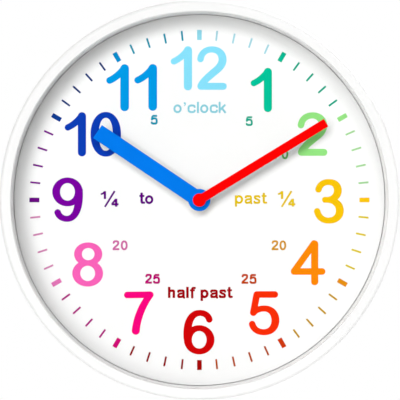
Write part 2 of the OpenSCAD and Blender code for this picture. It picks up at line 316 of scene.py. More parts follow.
def relief(nt, height, strength, dist, normal=None):
    n = nt.nodes.new("ShaderNodeBump")
    n.inputs["Strength"].default_value = strength
    n.inputs["Distance"].default_value = dist
    nt.links.new(height, n.inputs["Height"])
    if normal is not None:
        nt.links.new(normal, n.inputs["Normal"])
    return n.outputs["Normal"]


def shade(c, k):
    return tuple(min(1.0, max(0.0, v * k)) for v in c)


def finish(name, rgb, rough=(0.35, 0.45), var=0.03, cloud=45.0, grain=2200.0, grain_h=0.00002,
           grain_s=0.15, metal=0.0, spec=0.5, coat=0.0, ior=1.5, tint=None, speck=0.0):
    """A surface with soft colour drift, fine grain in its relief and an uneven sheen."""
    m, nt, out, vec = start(name)
    p = nt.nodes.new("ShaderNodeBsdfPrincipled")
    nt.links.new(p.outputs[0], out.inputs["Surface"])
    c0 = shade(rgb, 1 - var)
    c1 = shade(tint or rgb, 1 + var)
    fac = noise(nt, vec, cloud, 4.0)
    if speck:
        fine = noise(nt, vec, grain * 0.45, 2.0)
        fac = math2(nt, "ADD", math2(nt, "MULTIPLY", fac, 1 - speck), math2(nt, "MULTIPLY", fine, speck))
    nt.links.new(ramp(nt, fac, [(0.3, c0), (0.7, c1)]), p.inputs["Base Color"])
    nt.links.new(span(nt, noise(nt, vec, cloud * 6, 3.0), *rough), p.inputs["Roughness"])
    nt.links.new(relief(nt, noise(nt, vec, grain, 3.0, 0.6), grain_s, grain_h), p.inputs["Normal"])
    p.inputs["Metallic"].default_value = metal
    p.inputs["Specular IOR Level"].default_value = spec
    p.inputs["IOR"].default_value = ior
    p.inputs["Coat Weight"].default_value = coat
    return m


def brushed(name, rgb, rough=(0.22, 0.38), axis=(1, 40, 40), scale=60.0, var=0.08, depth=0.00001):
    """Metal with drawn lines along one axis."""
    m, nt, out, vec = start(name)
    p = nt.nodes.new("ShaderNodeBsdfPrincipled")
    nt.links.new(p.outputs[0], out.inputs["Surface"])
    mp = nt.nodes.new("ShaderNodeMapping")
    mp.inputs["Scale"].default_value = axis
    nt.links.new(vec, mp.inputs["Vector"])
    lines = noise(nt, mp.outputs["Vector"], scale, 5.0, 0.65)
    nt.links.new(ramp(nt, lines, [(0.3, shade(rgb, 1 - var)), (0.7, shade(rgb, 1 + var))]), p.inputs["Base Color"])
    nt.links.new(span(nt, lines, *rough), p.inputs["Roughness"])
    nt.links.new(relief(nt, lines, 0.25, depth), p.inputs["Normal"])
    p.inputs["Metallic"].default_value = 1.0
    return m


def banded(name, rgb, groove_shade, waves, axis="X", rough=0.4, metal=0.0, depth=0.00004):
    """Fine parallel rounds, as on a wound coil or a moulded grip, with painted shade in the grooves between them."""
    m, nt, out, vec = start(name)
    p = nt.nodes.new("ShaderNodeBsdfPrincipled")
    nt.links.new(p.outputs[0], out.inputs["Surface"])
    w = nt.nodes.new("ShaderNodeTexWave")
    w.bands_direction = axis
    w.inputs["Scale"].default_value = waves
    w.inputs["Distortion"].default_value = 0.4
    nt.links.new(vec, w.inputs["Vector"])
    # painted shade: where the rounds' relief is low, the colour turns to the darker groove colour
    nt.links.new(ramp(nt, w.outputs["Fac"], [(0.1, groove_shade), (0.8, rgb)]), p.inputs["Base Color"])
    nt.links.new(relief(nt, w.outputs["Fac"], 0.6, depth), p.inputs["Normal"])
    nt.links.new(span(nt, noise(nt, vec, 400.0), rough - 0.06, rough + 0.06), p.inputs["Roughness"])
    p.inputs["Metallic"].default_value = metal
    return m


def clear(name, tint):
    """Clear sheet that mirrors by its angle and lets lamps through."""
    m, nt, out, vec = start(name)
    see = nt.nodes.new("ShaderNodeBsdfTransparent")
    see.inputs["Color"].default_value = (*tint, 1.0)
    gl = nt.nodes.new("ShaderNodeBsdfGlossy")
    nt.links.new(span(nt, noise(nt, vec, 30.0), 0.015, 0.05), gl.inputs["Roughness"])
    lw = nt.nodes.new("ShaderNodeLayerWeight")
    lw.inputs["Blend"].default_value = 0.5
    f = math2(nt, "POWER", lw.outputs["Facing"], 5.0)
    f = math2(nt, "ADD", math2(nt, "MULTIPLY", f, 0.96), 0.012)
    mx = nt.nodes.new("ShaderNodeMixShader")
    nt.links.new(f, mx.inputs["Fac"])
    nt.links.new(see.outputs[0], mx.inputs[1])
    nt.links.new(gl.outputs[0], mx.inputs[2])
    nt.links.new(mx.outputs[0], out.inputs["Surface"])
    return m


WHITE = 0.70         # how much light the white card returns; the paints and inks are set against it
M = {
    "white_case": finish("case_gloss_white", (0.665, 0.665, 0.662), (0.285, 0.335), 0.010, 22, 700, 0.00001, 0.03),
    "white_wall": finish("wall_gloss_white", (0.80, 0.80, 0.797), (0.07, 0.12), 0.012, 40, 900, 0.00001, 0.02),
    "white_back": finish("back_satin_white", (0.72, 0.72, 0.712), (0.42, 0.56), 0.025, 38, 1500, 0.00003, 0.35, speck=0.3),
    "clear_lens": clear("lens_clear", (0.998, 0.999, 0.9985)),
    "dial_white": finish("dial_card", (0.70, 0.70, 0.697), (0.62, 0.75), 0.010, 60, 3200, 0.00001, 0.10, spec=0.25, speck=0.4),
    "blue_paint": finish("hand_blue_paint", shade(lin(0, 123, 238), WHITE), (0.36, 0.46), 0.03, 70, 2800, 0.00001, 0.12, spec=0.06),
    "red_paint": finish("hand_red_paint", shade(lin(254, 0, 0), WHITE), (0.36, 0.46), 0.02, 70, 2800, 0.00001, 0.12, spec=0.06),
    "hand_back": brushed("hand_bare_aluminium", (0.80, 0.80, 0.805), (0.36, 0.48), (30, 2, 30), 60),
    "brass": brushed("nut_brass", (0.78, 0.56, 0.24), (0.22, 0.36), (30, 30, 2), 40),
    "black_rubber": finish("gasket_rubber", (0.018, 0.018, 0.018), (0.7, 0.85), 0.15, 90, 1800, 0.00003, 0.4, spec=0.3),
    "black_plastic": finish("movement_black", (0.020, 0.020, 0.022), (0.42, 0.58), 0.12, 70, 1900, 0.00003, 0.45, spec=0.45, speck=0.4),
    "knob": finish("knob_charcoal", (0.050, 0.050, 0.053), (0.34, 0.48), 0.12, 70, 1900, 0.00003, 0.35, spec=0.45, speck=0.4),
    "lid_mark": finish("lid_mark_grey", (0.36, 0.36, 0.37), (0.4, 0.55), 0.06, 120, 1900, 0.00002, 0.2),
    "natural_plastic": finish("plate_natural", (0.80, 0.79, 0.72), (0.38, 0.5), 0.04, 80, 1500, 0.00002, 0.2),
    "gear_plastic": finish("gear_acetal", (0.86, 0.85, 0.80), (0.28, 0.4), 0.03, 120, 2000, 0.00001, 0.15),
    "board_green": finish("board_mask", (0.02, 0.14, 0.06), (0.22, 0.34), 0.2, 300, 1200, 0.00002, 0.3, coat=0.3, speck=0.4),
    # the coil's darker colour in the grooves between its turns is painted shade
    "copper_wire": banded("coil_copper", (0.72, 0.30, 0.12), (0.22, 0.06, 0.02), 1600.0, "X", 0.3, 1.0),
    "soft_iron": brushed("core_iron", (0.50, 0.50, 0.51), (0.3, 0.45), (2, 30, 30), 60),
    "magnet": finish("rotor_magnet_grey", (0.10, 0.10, 0.105), (0.4, 0.55), 0.12, 300, 1500, 0.00002, 0.3, metal=0.6),
    "zinc_screw": brushed("screw_zinc", (0.66, 0.67, 0.68), (0.22, 0.36), (12, 30, 12), 70),
    "spring_steel": brushed("contact_nickel", (0.72, 0.71, 0.68), (0.18, 0.32), (30, 2, 2), 60),
    "cell_jacket": finish("cell_jacket_green", (0.035, 0.20, 0.075), (0.29, 0.36), 0.08, 60, 1200, 0.00002, 0.2, coat=0.4),
    "cell_can": brushed("cell_can_nickel", (0.70, 0.70, 0.70), (0.2, 0.34), (2, 40, 40), 60),
    "cell_seal": finish("cell_seal_grey", (0.10, 0.10, 0.11), (0.5, 0.62), 0.1, 300, 1600, 0.00002, 0.3),
    "cell_mark": finish("cell_mark_pale", (0.75, 0.78, 0.74), (0.3, 0.42), 0.05, 200, 1600, 0.00001, 0.15),
    "chip": finish("chip_epoxy", (0.012, 0.012, 0.013), (0.25, 0.4), 0.2, 300, 1200, 0.00003, 0.4),
}

# every frame node starts with the finish of its slot
PLAIN = {
    "front_case": "white_case", "lens": "clear_lens", "spacer_ring": "white_wall", "dial": "dial_white",
    "rear_case": "white_back", "case_screws": "zinc_screw", "hour_hand": "blue_paint", "minute_hand": "red_paint",
    "centre_nut": "brass", "nut_washer": "brass", "movement_gasket": "black_rubber", "movement_case": "black_plastic",
    "movement_cover": "black_plastic", "middle_plate": "natural_plastic", "circuit_board": "board_green",
    "quartz_crystal": "spring_steel", "timing_chip": "chip", "coil_bobbin": "natural_plastic",
    "coil_winding": "copper_wire", "coil_core": "soft_iron", "stator": "soft_iron", "rotor_magnet": "magnet",
    "rotor_pinion": "gear_plastic", "intermediate_wheel": "gear_plastic", "fourth_wheel": "gear_plastic",
    "third_wheel": "gear_plastic", "centre_wheel": "gear_plastic", "minute_arbor": "natural_plastic",
    "minute_wheel": "gear_plastic", "hour_wheel": "gear_plastic", "setting_knob": "black_plastic",
    "battery": "cell_jacket", "positive_contact": "spring_steel", "negative_contact": "spring_steel",
    "negative_spring": "spring_steel",
}
for name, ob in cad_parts.items():
    ob.data.materials.clear()
    ob.data.materials.append(M[PLAIN[name]])

# ------------------------------------------------------------------ case, lens and dial
prof = rounded([(107.8, 0.0), (110.7, 0.0), (111.0, 0.5)], [0.15, 0.35, 0.0], 4, closed=False)
prof += [(111.0 + 1.5 * t, 0.6 + 15.4 * t) for t in (0.0, 0.25, 0.5, 0.75)]
prof += arc(108.2, 16.0, 4.3, 22.0, 0, 90, 72, 3.0)
prof += arc(105.4, 37.7, 0.3, 0.3, 90, 180, 8)
prof += rounded([(105.1, 37.4), (105.1, 35.2), (107.8, 35.2), (107.8, 34.0)], [0, 0.1, 0.1, 0], 4, closed=False)
prof += [(107.8, 19.0), (107.8, 4.0)]
ring = lathe("front_ring", prof, 256)
extra = []
for k in range(4):
    a = math.radians(45 + 90 * k)
    c, s = math.cos(a), math.sin(a)
    at = (100.5 * c, 100.5 * s)
    boss = lathe(f"boss_{k}", rounded([(1.25, 4.4), (4.0, 4.4), (4.0, 18.7), (0.0, 18.7), (0.0, 16.0), (1.25, 16.0)],
                                      [0.15, 0.3, 0.3, 0, 0, 0], 3), 40, at)
    web = [(100.5 + u, v) for u, v in ((3.2, -1.5), (8.1, -1.5), (8.1, 1.5), (3.2, 1.5))]
    web = slab(f"web_{k}", [[[(x * c - y * s, x * s + y * c) for x, y in web]]], 4.5, 18.6)
    extra += [boss, web]
ring = boolean(ring, extra)
done(ring, M["white_case"], nodes=["front_case"], sharp=28)

wall = lathe("inner_wall", rounded([(105.08, 19.51), (107.4, 19.51), (107.4, 33.2), (105.5, 33.2)],
                                   [0.1, 0.1, 0.1, 0.15], 5), 256)
done(wall, M["white_wall"], nodes=["spacer_ring"], sharp=40)

glass = lathe("clear_front", rounded([(0.0, 33.22), (107.3, 33.22), (107.3, 35.18), (0.0, 35.18)],
                                     [0, 0.25, 0.25, 0], 4), 256)
done(glass, M["clear_lens"], nodes=["lens"], sharp=40)

card = lathe("dial_card", rounded([(4.2, 19.5), (104.95, 19.5), (104.95, 20.3), (4.2, 20.3)], 0.08, 3), 256)
done(card, M["dial_white"], nodes=["dial"], sharp=40)

# ------------------------------------------------------------------ printed dial
PX = 0.5669          # millimetres on the dial for one unit of the layout grid
CX, CY = 199.4, 200.0


def bez(*c, n=14):
    c = np.array(c, float)
    out = [c[0]]
    for i in range(0, len(c) - 1, 3):
        a, b, d, e = c[i:i + 4]
        for k in range(1, n + 1):
            t = k / n
            out.append((1 - t) ** 3 * a + 3 * t * (1 - t) ** 2 * b + 3 * t * t * (1 - t) * d + t ** 3 * e)
    return np.array(out)


def oval(cx, cy, rx, ry, rs, rt, n=48, p=2.0):
    out = []
    for k in range(n + 1):
        a = 2 * PI * k / n
        c, s = math.cos(a), math.sin(a)
        x = abs(c) ** (2 / p) * (1 if c > 0 else -1)
        y = abs(s) ** (2 / p) * (1 if s > 0 else -1)
        out.append((cx + rx * x, cy + ry * y, rs * c * c + rt * s * s))
    return np.array(out)


def P(*pts):
    return np.array(pts, float)


# big figures, drawn with a round pen: x right, y down, each stroke a run of (x, y, half width)
BIG = {
    "0": [oval(15.2, 22.3, 11.1, 19.4, 4.15, 2.95, p=2.15)],
    "1": [bez((2.9, 15.3, 3.2), (7.6, 13.2, 3.2), (12.6, 9.4, 3.3), (17.0, 3.5, 3.3)), P((16.95, 4.2, 4.1), (16.95, 40.2, 4.1))],
    "2": [bez((3.5, 12.9, 3.3), (4.3, 6.8, 3.2), (9.0, 3.3, 3.1), (14.8, 3.3, 3.1), (21.2, 3.3, 3.2), (25.6, 7.6, 4.0), (25.6, 13.3, 4.0),
              (25.6, 19.5, 4.0), (20.5, 23.2, 3.8), (15.6, 27.2, 3.7), (10.6, 31.4, 3.6), (5.2, 36.2, 3.6), (3.9, 40.1, 3.5)),
          P((3.9, 40.2, 3.5), (26.3, 40.2, 3.5))],
    "3": [bez((5.5, 11.4, 3.2), (6.6, 6.9, 3.2), (10.4, 4.0, 3.0), (15.6, 4.0, 3.0), (21.2, 4.0, 3.1), (24.8, 7.4, 4.0), (24.8, 12.3, 4.0),
              (24.8, 18.0, 4.0), (20.4, 21.8, 3.2), (14.6, 21.8, 3.0)), P((14.6, 21.8, 3.0), (12.0, 21.8, 3.0)),
          bez((14.6, 21.8, 3.0), (21.4, 21.8, 3.2), (26.8, 26.2, 4.0), (26.8, 32.4, 4.0), (26.8, 38.8, 4.0), (22.0, 42.6, 3.2), (15.6, 42.6, 3.0),
              (9.6, 42.6, 3.0), (5.6, 39.0, 3.3), (4.1, 33.3, 3.2))],
    "4": [P((24.0, 3.5, 3.3), (4.1, 31.2, 3.3)), P((4.1, 31.5, 3.3), (32.1, 31.5, 3.3)), P((24.7, 4.0, 3.6), (24.7, 41.6, 3.6))],
    "5": [P((8.8, 3.5, 3.3), (26.8, 3.5, 3.3)), P((8.7, 3.8, 3.4), (5.4, 21.6, 3.4)),
          bez((5.5, 21.5, 3.2), (8.6, 18.6, 3.0), (12.4, 17.5, 3.0), (16.4, 17.5, 3.0), (23.0, 17.5, 3.2), (27.4, 22.5, 4.0), (27.4, 29.4, 4.0),
              (27.4, 36.6, 4.0), (22.6, 41.2, 3.1), (15.8, 41.2, 3.0), (9.6, 41.2, 3.0), (5.6, 38.0, 3.3), (4.2, 33.1, 3.3))],
    "6": [bez((26.3, 9.4, 3.3), (25.0, 5.2, 3.2), (21.6, 2.95, 3.0), (16.9, 2.95, 3.0), (8.9, 2.95, 3.2), (4.4, 10.9, 4.1), (4.4, 24.0, 4.1)),
          bez((4.4, 24.0, 4.1), (4.4, 27.0, 4.1), (4.7, 29.0, 4.1), (5.1, 30.5, 4.0)), oval(16.2, 29.8, 11.3, 11.7, 4.0, 2.95)],
    "7": [P((3.3, 4.0, 3.3), (26.3, 3.7, 3.3)), bez((26.2, 4.0, 3.3), (19.6, 12.0, 3.7), (12.9, 26.0, 3.9), (11.8, 39.8, 4.0))],
    "8": [oval(16.2, 12.1, 10.2, 8.9, 3.9, 2.8), oval(15.7, 31.4, 11.4, 10.4, 4.0, 2.8)],
    "9": [oval(15.5, 13.9, 11.3, 11.6, 3.95, 2.85),
          bez((26.9, 12.4, 4.0), (27.7, 30.0, 4.1), (23.6, 40.8, 3.2), (15.0, 40.8, 3.0), (10.2, 40.8, 3.0), (6.9, 38.2, 3.3), (5.7, 34.5, 3.3))],
}
PLACE = [(12, "1", 171.0, 46.1, 1, 1), (12, "2", 197.0, 46.1, 1, 1), (1, "1", 250.9, 67.8, 1, 1), (2, "2", 297.5, 112.1, 1, 1),
         (3, "3", 313.0, 178.0, 1, 1), (4, "4", 290.0, 240.0, 1, 1), (5, "5", 248.0, 291.0, 1, 1), (6, "6", 183.0, 310.0, 1, 1),
         (7, "7", 124.0, 291.0, 1, 1), (8, "8", 72.0, 242.0, 1, 1), (9, "9", 52.0, 178.0, 1, 1), (10, "1", 65.0, 112.1, 1, 1),
         (10, "0", 90.6, 112.0, 1, 1), (11, "1", 106.6, 64.1, 1.065, 1.065), (11, "1", 134.7, 64.0, 1.065, 1.055)]


def small(ch, w):
    """Small figures and letters, baseline at y = 0 and up negative, with a pen of width w."""
    r = w / 2
    D = {
        "0": [oval(3.45, -4.95, 3.45 - r, 4.95 - r, r, r, p=2.2)],
        "1": [P((0.9, -7.3, r * .9), (3.2, -8.9, r * .9)), P((3.4, -9.9, r), (3.4, 0, r))],
        "2": [bez((0.15 + r, -7.0, r), (0.4 + r, -8.9, r), (1.9, -9.9 + r, r), (3.4, -9.9 + r, r), (5.3, -9.9 + r, r), (6.7 - r, -8.7, r),
                  (6.7 - r, -7.1, r), (6.7 - r, -4.6, r), (1.9, -3.6, r), (0.9, -r, r)), P((0.1, -r, r), (6.8, -r, r))],
        "5": [P((6.3, -9.9 + r, r), (1.5, -9.9 + r, r)), P((1.75, -9.9 + r, r), (1.0, -4.9, r)),
              bez((1.0, -5.0, r), (1.8, -6.2, r), (2.7, -6.6 + r * .2, r), (3.6, -6.6 + r * .2, r), (5.5, -6.6 + r * .2, r), (6.9 - r, -5.2, r),
                  (6.9 - r, -3.2, r), (6.9 - r, -1.2, r), (5.4, -r, r), (3.5, -r, r), (1.8, -r, r), (0.5 + r * .5, -1.0, r), (0.2 + r * .7, -2.5, r))],
        "4": [P((4.9, -7.6, r * .9), (0.9, -2.6, r * .9)), P((0.4, -2.5, r * .9), (7.0, -2.5, r * .9)), P((5.2, -8.2, r), (5.2, 0, r))],
        "o": [oval(4.15, -4.2, 4.15 - r, 4.4 - r, r, r)],
        "c": [bez((7.6 - r * .4, -5.7, r), (7.2, -7.6, r), (5.9, -8.55 + r, r), (4.2, -8.55 + r, r), (1.9, -8.55 + r, r), (r, -6.8, r), (r, -4.2, r),
                  (r, -1.6, r), (1.9, 0.1 - r, r), (4.2, 0.1 - r, r), (5.9, 0.1 - r, r), (7.2, -1.0, r), (7.6 - r * .4, -2.8, r))],
        "l": [P((r, -11.2, r), (r, 0, r))],
        "k": [P((r, -11.2, r), (r, 0, r)), P((6.7, -8.4, r), (r + .3, -2.9, r)), P((3.0, -5.3, r), (7.0, 0, r))],
        "p": [P((r, -8.4, r), (r, 3.0, r)), oval(4.25, -4.2, 4.25 - r, 4.4 - r, r, r)],
        "a": [bez((0.5 + r * .6, -6.0, r), (0.9, -7.7, r), (2.2, -8.55 + r, r), (3.7, -8.55 + r, r), (5.7, -8.55 + r, r), (6.7 - r * .2, -7.6, r),
                  (6.7 - r * .2, -5.9, r)), P((6.7 - r * .2, -6.0, r), (6.7 - r * .2, -1.6, r)),
              bez((6.7 - r * .2, -1.8, r), (6.7 - r * .2, -.9, r), (6.9, -.4, r), (7.2, 0 - r * .2, r * .8)),
              bez((6.6 - r * .2, -5.0, r * .9), (4.6, -4.3, r * .9), (r + .05, -4.8, r), (r + .05, -2.3, r), (r + .05, -.6, r), (1.9, .1 - r, r),
                  (3.0, .1 - r, r), (4.6, .1 - r, r), (6.4 - r * .2, -1.1, r), (6.6 - r * .2, -3.2, r))],
        "s": [bez((6.5 - r * .4, -6.2, r), (6.0, -7.9, r), (4.8, -8.55 + r, r), (3.5, -8.55 + r, r), (1.9, -8.55 + r, r), (.4 + r, -7.6, r),
                  (.4 + r, -6.2, r), (.4 + r, -4.3, r), (6.9 - r, -4.8, r), (6.9 - r, -2.3, r), (6.9 - r, -.8, r), (5.2, .1 - r, r), (3.6, .1 - r, r),
                  (1.9, .1 - r, r), (.6, -.7, r), (.2 + r * .7, -2.4, r))],
        "t": [P((0, -7.7, r * .8), (4.9, -7.7, r * .8)),
              bez((2.2, -10.6, r), (2.2, -7.5, r), (2.2, -4.5, r), (2.2, -2.4, r), (2.2, -.9, r), (2.9, -r * .95, r), (5.1, -r * .95, r * .9))],
        "h": [P((r, -11.2, r), (r, 0, r)), bez((r, -4.7, r), (r + .2, -7.0, r), (2.4, -8.55 + r, r), (4.0, -8.55 + r, r), (6.0, -8.55 + r, r),
                                               (7.2 - r, -7.4, r), (7.2 - r, -5.2, r)), P((7.2 - r, -5.3, r), (7.2 - r, 0, r))],
        "f": [P((0, -7.7, r * .8), (4.9, -7.7, r * .8)),
              bez((2.3, 0, r), (2.3, -3, r), (2.3, -6, r), (2.3, -8.4, r), (2.3, -10.3, r), (3.4, -11.3 + r, r), (5.3, -11.2 + r, r * .9))],
        "'": [oval(1.6, -9.8, 0.02, 0.02, 1.05, 1.05, 12),
              bez((2.1, -9.7, .7), (2.6, -8.6, .6), (1.9, -7.5, .45), (0.6, -6.9, .25))],
        "/": [P((0, 0, r * .62), (9.8, -15.9, r * .62))],
        "1q": [bez((0.2, -5.0, r * .68), (1.6, -5.1, r * .68), (2.8, -5.9, r * .68), (3.5, -7.3, r * .68)), P((3.9, -7.9, r * .86), (3.9, 0, r * .86))],
        "4q": [P((4.7, -7.5, r * .76), (0.9, -2.7, r * .76)), P((0.3, -2.5, r * .8), (7.5, -2.5, r * .8)), P((5.05, -8.1, r * .92), (5.05, -0.1, r * .92))],
    }
    return D[ch]


# sign, left edge, baseline, pen width, stretch across and up, label
WORDS = [
    ("o", 173.4, 113.0, 2.05, 1, 1, "oclock"), ("'", 183.1, 113.0, 2.05, 1, 1, "oclock"), ("c", 187.5, 113.0, 2.05, 1, 1, "oclock"),
    ("l", 196.9, 113.0, 2.05, 1, 1, "oclock"), ("o", 200.1, 113.0, 2.05, 1, 1, "oclock"), ("c", 209.7, 113.0, 2.05, 1, 1, "oclock"),
    ("k", 218.6, 113.0, 2.05, 1, 1, "oclock"),
    ("h", 167.9, 298.0, 2.52, 1, 1, "half_past"), ("a", 177.1, 298.0, 2.4, 1, 1, "half_past"), ("l", 186.2, 298.0, 2.52, 1, 1, "half_past"),
    ("f", 189.9, 298.0, 2.4, 1, 1, "half_past"), ("p", 200.6, 298.0, 2.52, .93, 1, "half_past"), ("a", 210.1, 298.0, 2.4, 1, 1, "half_past"),
    ("s", 218.9, 298.0, 2.34, 1.03, 1, "half_past"), ("t", 227.1, 298.0, 2.52, 1, 1, "half_past"),
    ("p", 234.9, 203.7, 2.2, .97, 1, "past"), ("a", 244.6, 203.7, 2.09, .98, 1, "past"), ("s", 253.5, 203.7, 2.09, .98, 1, "past"),
    ("t", 261.6, 203.7, 2.2, 1, 1, "past"),
    ("t", 139.4, 203.8, 2.42, 1.02, 1.02, "to"), ("o", 145.0, 203.9, 2.31, 1.01, 1.01, "to"),
    ("1q", 101.0, 199.0, 2.7, 1, 1, "quarter_left"), ("/", 104.9, 206.9, 3.1, 1, 1, "quarter_left"), ("4q", 111.1, 206.8, 2.56, 1, 1, "quarter_left"),
    ("1q", 278.2, 199.0, 2.75, 1, 1, "quarter_right"), ("/", 281.7, 206.9, 3.1, 1, 1, "quarter_right"), ("4q", 287.9, 206.8, 2.5, .98, 1, "quarter_right"),
    ("5", 150.8, 124.6, 2.05, 1, .98, "5_left"), ("5", 245.7, 125.9, 1.93, 1.03, .97, "5_right"),
    ("1", 272.2, 159.2, 1.98, 1, 1, "10_right"), ("0", 281.7, 159.2, 1.98, .95, 1, "10_right"),
    ("1", 127.4, 159.6, 1.98, 1, 1, "10_left"), ("0", 133.8, 159.6, 1.98, .95, 1, "10_left"),
    ("2", 271.5, 250.2, 1.95, 1, 1, "20_right"), ("0", 279.5, 250.3, 1.95, .97, 1, "20_right"),
    ("2", 112.5, 250.2, 1.98, 1, 1, "20_left"), ("0", 120.8, 250.3, 1.98, .99, 1, "20_left"),
    ("2", 241.4, 283.8, 2.06, 1, 1, "25_right"), ("5", 249.6, 283.9, 2.06, 1, 1, "25_right"),
    ("2", 145.1, 283.7, 2.15, 1, 1, "25_left"), ("5", 153.1, 283.8, 2.15, 1, 1, "25_left"),
]


def pen_field(X, Y, strokes, butt):
    """Signed distance from every grid point to the edge of the strokes, below 0 inside."""
    g = np.stack([X.ravel(), Y.ravel()], 1)
    D = np.full(len(g), 1e9)
    for s in strokes:
        a, b, n = s[:-1], s[1:], len(s) - 1
        closed = np.allclose(s[0], s[-1])
        for i in range(n):
            v = b[i, :2] - a[i, :2]
            L = (v * v).sum()
            if L < 1e-12:
                continue
            t0 = ((g - a[i, :2]) @ v) / L
            t = np.clip(t0, 0, 1)
            d = np.hypot(*(g - a[i, :2] - t[:, None] * v).T) - (a[i, 2] + t * (b[i, 2] - a[i, 2]))
            if butt and not closed:
                if i == 0:
                    d = np.where(t0 < 0, 1e9, d)
                if i == n - 1:
                    d = np.where(t0 > 1, 1e9, d)
            D = np.minimum(D, d)
    return D.reshape(X.shape)


def contours(D, x0, y0, h):
    """Closed outlines of the region below 0 on a grid, the inside on the left."""
    ins = D < 0
    code = ins[:-1, :-1] * 1 + ins[:-1, 1:] * 2 + ins[1:, 1:] * 4 + ins[1:, :-1] * 8
    table = {1: "BL", 2: "RB", 4: "TR", 8: "LT", 3: "RL", 6: "TB", 12: "LR", 9: "BT", 7: "TL", 11: "RT", 13: "BR", 14: "LB"}
    nxt, pos = {}, {}

    def cross(side, i, j):
        key = {"B": (0, i, j), "T": (0, i, j + 1), "L": (1, i, j), "R": (1, i + 1, j)}[side]
        if key not in pos:
            o, p, q = key
            d0 = D[q, p]
            d1 = D[q, p + 1] if o == 0 else D[q + 1, p]
            d0, d1 = max(-h, min(h, d0)), max(-h, min(h, d1))
            t = d0 / (d0 - d1)
            pos[key] = (x0 + (p + (t if o == 0 else 0)) * h, y0 + (q + (t if o == 1 else 0)) * h)
        return key

    for j, i in zip(*np.nonzero((code > 0) & (code < 15))):
        c = int(code[j, i])
        for pair in (["BL", "TR"] if c == 5 else ["RB", "LT"] if c == 10 else [table[c]]):
            nxt[cross(pair[0], i, j)] = cross(pair[1], i, j)
    loops = []
    while nxt:
        k = next(iter(nxt))
        loop = []
        while k in nxt:
            loop.append(pos[k])
            k = nxt.pop(k)
        loops.append(loop)
    return loops


def thin(loop, tol):
    """The outline with points dropped where it stays within tol."""
    p = np.array(loop)
    keep = np.zeros(len(p), bool)
    far = int(np.argmax(((p - p[0]) ** 2).sum(1)))
    keep[0] = keep[far] = True
    stack = [(0, far), (far, len(p))]
    q = np.vstack([p, p[:1]])
    while stack:
        a, b = stack.pop()
        if b - a < 2:
            continue
        v = q[b] - q[a]
        L = np.hypot(*v)
        w = q[a + 1:b] - q[a]
        d = np.abs(w[:, 0] * v[1] - w[:, 1] * v[0]) / L if L > 1e-9 else np.hypot(*w.T)
        m = int(np.argmax(d))
        if d[m] > tol:
            keep[a + 1 + m] = True
            stack += [(a, a + 1 + m), (a + 1 + m, b)]
    return [tuple(x) for x in p[keep]]


def area(l):
    return 0.5 * sum(a[0] * b[1] - b[0] * a[1] for a, b in zip(l, l[1:] + l[:1]))


def inside(pt, l):
    x, y = pt
    c = False
    for (x0, y0), (x1, y1) in zip(l, l[1:] + l[:1]):
        if (y0 > y) != (y1 > y) and x < x0 + (y - y0) * (x1 - x0) / (y1 - y0):
            c = not c
    return c


def grouped(loops):
    """Outlines sorted into [outside, hole, hole ...] lists."""
    outer = [l for l in loops if area(l) > 0]
    sets = [[l] for l in outer]
    for l in loops:
        if area(l) < 0:
            for s in sets:
                if inside(l[0], s[0]):
                    s.append(l)
                    break
    return sets


def traced(strokes, butt=False, h=0.085, tol=0.004):
    """Outlines, in mm, of strokes given on the layout grid."""
    st = [np.stack([(s[:, 0] - CX) * PX, -(s[:, 1] - CY) * PX, s[:, 2] * PX], 1) for s in strokes]
    allp = np.vstack(st)
    w = allp[:, 2].max() + 3 * h
    x0, y0 = allp[:, 0].min() - w, allp[:, 1].min() - w
    nx = int((allp[:, 0].max() + w - x0) / h) + 2
    ny = int((allp[:, 1].max() + w - y0) / h) + 2
    X, Y = np.meshgrid(x0 + np.arange(nx) * h, y0 + np.arange(ny) * h)
    return grouped([thin(l, tol) for l in contours(pen_field(X, Y, st, butt), x0, y0, h) if len(l) > 8])


# ink of each hour, of its marks and of the small labels
INK = {12: (136, 225, 251), 1: (5, 193, 152), 2: (148, 228, 130), 3: (248, 196, 9), 4: (251, 137, 7), 5: (247, 46, 6),
       6: (207, 4, 6), 7: (248, 5, 126), 8: (249, 99, 185), 9: (122, 3, 160), 10: (12, 61, 180), 11: (2, 153, 228)}
MARK = {12: (142, 214, 232), 1: (14, 180, 144), 2: (150, 225, 132), 3: (244, 192, 14), 4: (224, 140, 14), 5: (204, 57, 14),
        6: (162, 8, 8), 7: (207, 14, 117), 8: (225, 115, 181), 9: (104, 6, 127), 10: (14, 60, 147), 11: (11, 141, 203)}
FINE = {12: (164, 214, 228), 1: (6, 168, 136), 2: (164, 216, 152), 3: (220, 200, 34), 4: (198, 152, 22), 5: (178, 72, 14),
        6: (142, 14, 16), 7: (174, 14, 124), 8: (208, 132, 177), 9: (124, 14, 138), 10: (13, 50, 116), 11: (12, 146, 174)}
LABEL = {"oclock": (139, 208, 223), "half_past": (160, 6, 18), "past": (226, 193, 12), "to": (98, 0, 126), "quarter_left": (98, 0, 126),
         "quarter_right": (226, 193, 12), "5_left": (12, 146, 176), "5_right": (8, 167, 137), "10_left": (12, 61, 180), "10_right": (112, 190, 100),
         "20_left": (206, 102, 162), "20_right": (208, 146, 16), "25_left": (186, 2, 112), "25_right": (190, 62, 6)}


def ink(name, rgb):
    return finish(name, shade(lin(*rgb), WHITE), (0.5, 0.62), 0.025, 110, 2600, 0.000008, 0.10, spec=0.03, speck=0.35)


